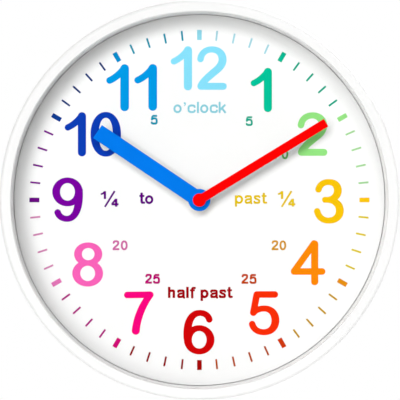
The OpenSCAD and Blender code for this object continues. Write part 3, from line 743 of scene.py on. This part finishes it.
INK0, INK1 = 20.303, 20.335
for hour in range(1, 13):
    sets = []
    for hr, ch, x, y, sx, sy in PLACE:
        if hr == hour:
            sets += traced([np.stack([s[:, 0] * sx + x, s[:, 1] * sy + y, s[:, 2] * sx], 1) for s in BIG[ch]])
    done(slab(f"numeral_{hour}", sets, INK0, INK1), ink(f"ink_{hour}", INK[hour]))
    marks = []
    for k in range(5):
        a = math.radians(90 - 30 * hour - 6 * k)
        w = 2.65 if k == 0 else 1.08
        box = rounded([(90.7, -w / 2), (96.4, -w / 2), (96.4, w / 2), (90.7, w / 2)], 0.12, 3)
        marks.append([[(x * math.cos(a) - y * math.sin(a), x * math.sin(a) + y * math.cos(a)) for x, y in box]])
    done(slab(f"hour_mark_{hour}", marks[:1], INK0, INK1), ink(f"ink_mark_{hour}", MARK[hour]))
    done(slab(f"minute_marks_{hour}", marks[1:], INK0, INK1), ink(f"ink_fine_{hour}", FINE[hour]))
for key, rgb in LABEL.items():
    sets = []
    for ch, x, y, w, sx, sy, label in WORDS:
        if label == key:
            sets += traced([np.stack([s[:, 0] * sx + x, s[:, 1] * sy + y, s[:, 2]], 1) for s in small(ch, w)], True, 0.05, 0.003)
    done(slab(f"label_{key}", sets, INK0, INK1), ink(f"ink_label_{key}", rgb))


# ------------------------------------------------------------------ hands
def hand_outline(half, length, boss, fillet, tip):
    """Counter-clockwise outline of a hand that points up, with its boss blended in."""
    yc = math.sqrt((boss + fillet) ** 2 - (half + fillet) ** 2)
    a = math.degrees(math.atan2(yc, half + fillet))
    right = [(half + fillet + fillet * math.cos(math.radians(t)), yc + fillet * math.sin(math.radians(t)))
             for t in np.linspace(180 + a, 180, 9)]
    bottom = arc(0, 0, boss, boss, 180 - a, 360 + a, 88)
    top = arc(half - tip, length - tip, tip, tip, 0, 90, 6) + arc(-half + tip, length - tip, tip, tip, 90, 180, 6)
    left = [(-x, y) for x, y in right[::-1]]
    return bottom + right[1:] + top + left[:-1]


def hand(name, outline, z0, z1, edge, degrees):
    """A sheet with rounded front edges, turned clockwise by degrees."""
    c, s = math.cos(math.radians(-degrees)), math.sin(math.radians(-degrees))
    rings = []
    steps = [(0.05, z0), (0.0, z0 + 0.05), (0.0, z1 - edge)]
    steps += [(edge * (1 - math.cos(math.radians(t))), z1 - edge + edge * math.sin(math.radians(t))) for t in (22, 45, 67, 90)]
    for d, z in steps:
        rings.append([(x * c - y * s, x * s + y * c, z) for x, y in (inset(outline, d) if d else outline)])
    return loft(name, rings)


def tube(name, prof, n=64):
    return lathe(name, rounded(prof, 0.12, 3), n)


def bare_back(ob):
    """The hands are painted on the front only; what faces the dial stays bare sheet."""
    ob.data.materials.append(M["hand_back"])
    for face in ob.data.polygons:
        if face.normal.y > 0.6:
            face.material_index = 1


hour = hand("hour_hand_sheet", hand_outline(8.85 / 2, 69.1, 6.25, 0.7, 0.25), 26.6, 27.2, 0.18, 303.9)
hour = boolean(hour, [tube("hour_collar", [(1.0, 25.9), (3.5, 25.9), (3.5, 28.1), (1.0, 28.1)])])
bore = lathe("bore", [(0.0, 24.6), (2.57, 24.6), (2.57, 29.6), (0.0, 29.6)], 64)
hour = boolean(hour, [bore], "DIFFERENCE")
bare_back(done(hour, M["blue_paint"], "hour_hand", ["hour_hand"]))

minute = hand("minute_hand_sheet", hand_outline(4.95 / 2, 83.2, 3.75, 1.0, 0.2), 30.2, 30.8, 0.18, 58.6)
minute = boolean(minute, [tube("minute_hub", [(0.0, 29.2), (2.6, 29.2), (2.6, 30.5), (0.0, 30.5)])])
bore = lathe("bore", [(0.0, 28.2), (1.72, 28.2), (1.72, 30.4), (0.0, 30.4)], 48)
minute = boolean(minute, [bore], "DIFFERENCE")
bare_back(done(minute, M["red_paint"], "minute_hand", ["minute_hand"]))


# ------------------------------------------------------------------ nut and washer
def hex_nut(name, flats, z0, z1, hole, cham, n=72):
    rings = []
    for z, cap in ((z0, flats / 2 + 0.05), (z0 + cham, 99), (z1 - cham, 99), (z1, flats / 2 + 0.05)):
        ring = []
        for k in range(n):
            a = 2 * PI * k / n
            f = (a + PI / 6) % (PI / 3) - PI / 6
            r = min(flats / 2 / math.cos(abs(f) - PI / 6), cap)
            ring.append((r * math.cos(a), r * math.sin(a), z))
        rings.append(ring)
    for z, r in ((z1, hole + 0.35), (z1 - 0.35, hole), (z0 + 0.35, hole), (z0, hole + 0.35)):
        rings.append([(r * math.cos(2 * PI * k / n), r * math.sin(2 * PI * k / n), z) for k in range(n)])
    V = [p for r in rings for p in r]
    F = []
    for q in range(len(rings)):
        w = (q + 1) % len(rings)
        for i in range(n):
            j = (i + 1) % n
            F.append((q * n + i, q * n + j, w * n + j, w * n + i))
    return from_points(name, V, F)


done(hex_nut("fixing_nut", 10.0, 20.8, 23.0, 3.95, 0.32), M["brass"], nodes=["centre_nut"], sharp=25)
done(lathe("fixing_washer", rounded([(4.0, 20.34), (6.0, 20.34), (6.0, 20.8), (4.0, 20.8)], 0.14, 3), 96), M["brass"],
     nodes=["nut_washer"])

# ------------------------------------------------------------------ back of the case
done(eased("rear_case", "rear_pan", 0.35, 2), M["white_back"], nodes=["rear_case"], sharp=30)
done(eased("movement_case", "movement_tray", 0.22, 2, where=lambda x, y, z: z < 17.3), M["black_plastic"],
     nodes=["movement_case"], sharp=30)
done(eased("movement_cover", "movement_lid", 0.22, 2), M["black_plastic"], nodes=["movement_cover"], sharp=30)
done(eased("setting_knob", "setting_wheel", 0.16, 2, where=lambda x, y, z: z < 2.85), M["knob"], "setting_knob",
     ["setting_knob"], sharp=30)

# screws with domed heads and a cross recess
screws = []
for k in range(4):
    a = math.radians(45 + 90 * k)
    at = (100.5 * math.cos(a), 100.5 * math.sin(a))
    head = [(0.0, 0.7), (1.6, 0.74), (2.3, 0.9), (2.75, 1.2), (2.95, 1.6), (3.0, 2.0), (3.0, 2.42), (2.9, 2.5), (1.2, 2.5)]
    shank = []
    for i in range(9):
        z = 3.2 + i * 1.1
        shank += [(1.0, z), (1.2, z + 0.3), (1.0, z + 0.6)]
    shank = [(1.0, 2.7)] + shank + [(1.0, 13.0), (0.2, 14.8), (0.0, 14.8)]
    s = lathe(f"screw_{k}", head + shank, 48, at)
    c = [(-1.9, -0.35), (1.9, -0.35), (1.9, 0.35), (-1.9, 0.35)]
    cuts = []
    for turn in (0, 90):
        b = a + math.radians(turn + 17 * k)
        cuts.append(slab(f"slot_{k}_{turn}", [[[(at[0] + x * math.cos(b) - y * math.sin(b), at[1] + x * math.sin(b) + y * math.cos(b))
                                               for x, y in c]]], 0.2, 1.6))
    screws.append(boolean(boolean(s, cuts[:1], "DIFFERENCE"), cuts[1:], "DIFFERENCE"))
done(join("case_screw_set", screws), M["zinc_screw"], nodes=["case_screws"], sharp=28)

# battery: can, sealed end, sleeve and pole marks
BY, BZ = -19.35, 8.3
can = [(0.0, -24.3), (4.5, -24.3), (4.65, -24.12), (5.5, -24.12), (5.75, -24.28), (6.3, -24.22), (6.72, -23.95), (6.92, -23.5), (6.96, -23.0),
       (6.96, 24.0), (6.9, 24.5), (6.66, 24.95), (6.3, 25.18), (5.9, 25.2), (5.7, 25.02), (5.6, 24.55), (3.5, 24.55), (3.4, 24.95), (2.95, 25.02),
       (2.76, 25.2), (2.75, 25.95), (2.62, 26.15), (2.4, 26.2), (0.0, 26.2)]
done(lathe("cell_can", can, 96, (BY, BZ), "x"), M["cell_can"], "battery", ["battery"], sharp=38)
seal = rounded([(3.45, 24.5), (5.66, 24.5), (5.66, 24.78), (3.45, 24.78)], 0.08, 2)
done(lathe("cell_seal", seal, 72, (BY, BZ), "x"), M["cell_seal"], "battery")
sleeve = [(6.955, -23.6), (7.04, -23.62), (7.1, -23.5), (7.1, 24.1), (7.04, 24.24), (6.955, 24.22)]
done(lathe("cell_sleeve", sleeve, 128, (BY, BZ), "x"), M["cell_jacket"], "battery")


def wrap(name, boxes, r0, r1, mid):
    """Thin marks that lie on the sleeve; each box is (x0, x1, v0, v1) with v along the curve."""
    V, F = [], []
    for x0, x1, v0, v1 in boxes:
        n, base = 10, len(V)
        for k in range(n + 1):
            a = mid + (v0 + (v1 - v0) * k / n) / r1
            for r in (r0, r1):
                for x in (x0, x1):
                    V.append((x, BY + r * math.cos(a), BZ + r * math.sin(a)))
        for k in range(n):
            p, q = base + 4 * k, base + 4 * k + 4
            F += [(p, p + 1, q + 1, q), (p + 2, q + 2, q + 3, p + 3), (p, q, q + 2, p + 2), (p + 1, p + 3, q + 3, q + 1)]
        F += [(base, base + 2, base + 3, base + 1), (base + 4 * n, base + 4 * n + 1, base + 4 * n + 3, base + 4 * n + 2)]
    return from_points(name, V, F)


face = math.radians(-90)
marks = wrap("cell_marks", [(17.6, 21.2, -0.5, 0.5), (18.9, 19.9, -1.8, -0.52), (18.9, 19.9, 0.52, 1.8), (-20.6, -17.4, -0.5, 0.5)], 7.1, 7.125, face)
done(marks, M["cell_mark"], "battery")
band = [(7.09, 23.0), (7.125, 23.02), (7.125, 23.9), (7.09, 23.92)]
done(lathe("cell_band", band, 128, (BY, BZ), "x"), M["cell_mark"], "battery")

# contacts and spring
done(eased("positive_contact", "plus_contact", 0.08, 2), M["spring_steel"], nodes=["positive_contact"], sharp=30)
done(eased("negative_contact", "minus_contact", 0.08, 2), M["spring_steel"], nodes=["negative_contact"], sharp=30)
rings = []
for i in range(141):
    t = i / 140
    a, r = 2 * PI * 2.5 * t, 3.6 - 1.7 * t
    c = Vector((-26.05 + 1.45 * t, BY + r * math.cos(a), BZ + r * math.sin(a)))
    u, v = Vector((1, 0, 0)), Vector((0, math.cos(a), math.sin(a)))
    rings.append([tuple(c + 0.245 * (u * math.cos(2 * PI * k / 12) + v * math.sin(2 * PI * k / 12))) for k in range(12)])
done(loft("minus_spring", rings), M["spring_steel"], nodes=["negative_spring"], sharp=60)

# raised arrows on the lid that show which way the wheel turns
KX, KY = 16.494, 5.785


def turn_arrow(a0, a1, r=8.9, w=0.42, head=1.35):
    d = 1 if a1 > a0 else -1
    n = 16
    out = [(KX + (r + w) * math.cos(math.radians(a0 + (a1 - a0) * k / n)), KY + (r + w) * math.sin(math.radians(a0 + (a1 - a0) * k / n)))
           for k in range(n + 1)]
    back = [(KX + (r - w) * math.cos(math.radians(a0 + (a1 - a0) * k / n)), KY + (r - w) * math.sin(math.radians(a0 + (a1 - a0) * k / n)))
            for k in range(n + 1)]
    e = math.radians(a1)
    tip = math.radians(a1 + d * 13)
    tri = [(KX + (r + head) * math.cos(e), KY + (r + head) * math.sin(e)), (KX + r * math.cos(tip), KY + r * math.sin(tip)),
           (KX + (r - head) * math.cos(e), KY + (r - head) * math.sin(e))]
    l = out + tri + back[::-1]
    return l if area(l) > 0 else l[::-1]


arrows = slab("turn_arrows", [[turn_arrow(112, 150)], [turn_arrow(248, 210)]], 1.52, 1.3)
done(arrows, M["lid_mark"])

# ------------------------------------------------------------------ stage, light and camera
floor = from_points("floor", [(-1200, -350, 1400), (1200, -350, 1400), (1200, -350, -1000), (-1200, -350, -1000)], [(0, 1, 2, 3)])
floor.data.materials.append(finish("floor_pale", (0.80, 0.80, 0.79), (0.6, 0.75), 0.01, 6, 300, 0.0001, 0.05))
floor.visible_shadow = False


def area_light(name, at, target, size, power, glossy=True, color=(1, 1, 1)):
    d = bpy.data.lights.new(name, "AREA")
    d.shape, d.size, d.energy, d.color = "DISK", size, power, color
    ob = link(bpy.data.objects.new(name, d))
    ob.location = at
    ob.rotation_mode = "QUATERNION"
    ob.rotation_quaternion = (Vector(target) - Vector(at)).to_track_quat("-Z", "Y")
    ob.visible_camera = False
    ob.visible_glossy = glossy
    return ob


def soft_lamp(off, turn, power):
    """A wide lamp far in front of the dial: off its axis by off and round it by turn, in degrees."""
    d = bpy.data.lights.new(f"lamp_{turn}", "SUN")
    d.angle, d.energy = math.radians(24), power
    ob = link(bpy.data.objects.new(f"lamp_{turn}", d))
    o, t = math.radians(off), math.radians(turn)
    ob.rotation_mode = "QUATERNION"
    ob.rotation_quaternion = Vector((-math.sin(o) * math.cos(t), math.cos(o), -math.sin(o) * math.sin(t))).to_track_quat("-Z", "Y")
    ob.visible_glossy = False


# an arc of soft lamps from the right over the top to the left, strongest at the upper left
for turn, power in ((0, 0.10), (45, 0.48), (90, 1.0), (135, 1.36), (180, 0.95), (225, 0.34)):
    soft_lamp(27, turn, 1.02 * power)
area_light("back_fill", (0.5, 1.6, 0.9), (0, 0, 0), 1.2, 8.0)

# studio: dark in front, a bright ring beside that is strongest at the right, calm behind
world = bpy.data.worlds.new("studio")
SC.world = world
world.use_nodes = True
nt = world.node_tree
nt.nodes.clear()
wo = nt.nodes.new("ShaderNodeOutputWorld")
lp = nt.nodes.new("ShaderNodeLightPath")
wt = nt.nodes.new("ShaderNodeTexCoord")
sep = nt.nodes.new("ShaderNodeSeparateXYZ")
nt.links.new(wt.outputs["Generated"], sep.inputs[0])
dot = nt.nodes.new("ShaderNodeVectorMath")
dot.operation = "DOT_PRODUCT"
dot.inputs[1].default_value = (math.cos(math.radians(335)), 0, math.sin(math.radians(335)))
nt.links.new(wt.outputs["Generated"], dot.inputs[0])


def smooth(value, a, b, lo, hi):
    n = nt.nodes.new("ShaderNodeMapRange")
    n.interpolation_type = "SMOOTHSTEP"
    for k, v in (("From Min", a), ("From Max", b), ("To Min", lo), ("To Max", hi)):
        n.inputs[k].default_value = v
    nt.links.new(value, n.inputs["Value"])
    return n.outputs["Result"]


def blend(fac, a, b):
    n = nt.nodes.new("ShaderNodeMix")
    n.data_type = "FLOAT"
    nt.links.new(fac, n.inputs[0])
    nt.links.new(a, n.inputs[2])
    if isinstance(b, float):
        n.inputs[3].default_value = b
    else:
        nt.links.new(b, n.inputs[3])
    return n.outputs[0]


def backdrop(strength):
    n = nt.nodes.new("ShaderNodeBackground")
    n.inputs["Color"].default_value = (1, 1, 1, 1)
    if isinstance(strength, float):
        n.inputs["Strength"].default_value = strength
    else:
        nt.links.new(strength, n.inputs["Strength"])
    return n.outputs[0]


def either(fac, a, b):
    n = nt.nodes.new("ShaderNodeMixShader")
    nt.links.new(fac, n.inputs["Fac"])
    nt.links.new(a, n.inputs[1])
    nt.links.new(b, n.inputs[2])
    return n.outputs[0]


beside = smooth(dot.outputs["Value"], -0.9, 0.9, 0.5, 3.1)
ringed = math2(nt, "MULTIPLY", smooth(sep.outputs["Y"], -0.23, -0.06, 0.0, 1.0), beside)
soft = blend(smooth(sep.outputs["Y"], 0.25, 0.6, 0.0, 1.0), ringed, 0.85)
# mirrored light falls off towards the front, so the lens shows the dial and not the room
mirrored = smooth(sep.outputs["Y"], -0.97, -0.55, 0.0, 0.92)
look = either(lp.outputs["Is Glossy Ray"], backdrop(soft), backdrop(mirrored))
nt.links.new(either(lp.outputs["Is Camera Ray"], look, backdrop(1.0)), wo.inputs["Surface"])

cam = bpy.data.cameras.new("camera")
cam.lens, cam.sensor_width = 145.7, 36.0
cam.clip_start, cam.clip_end = 0.05, 20.0
camera = link(bpy.data.objects.new("camera", cam))
camera.location = (0.00034, -0.938, 0.0)
camera.rotation_euler = (PI / 2, 0, 0)
SC.camera = camera
SC.view_settings.view_transform = "Standard"
SC.view_settings.look = "None"
SC.view_settings.exposure = 0.0
SC.view_settings.gamma = 1.0
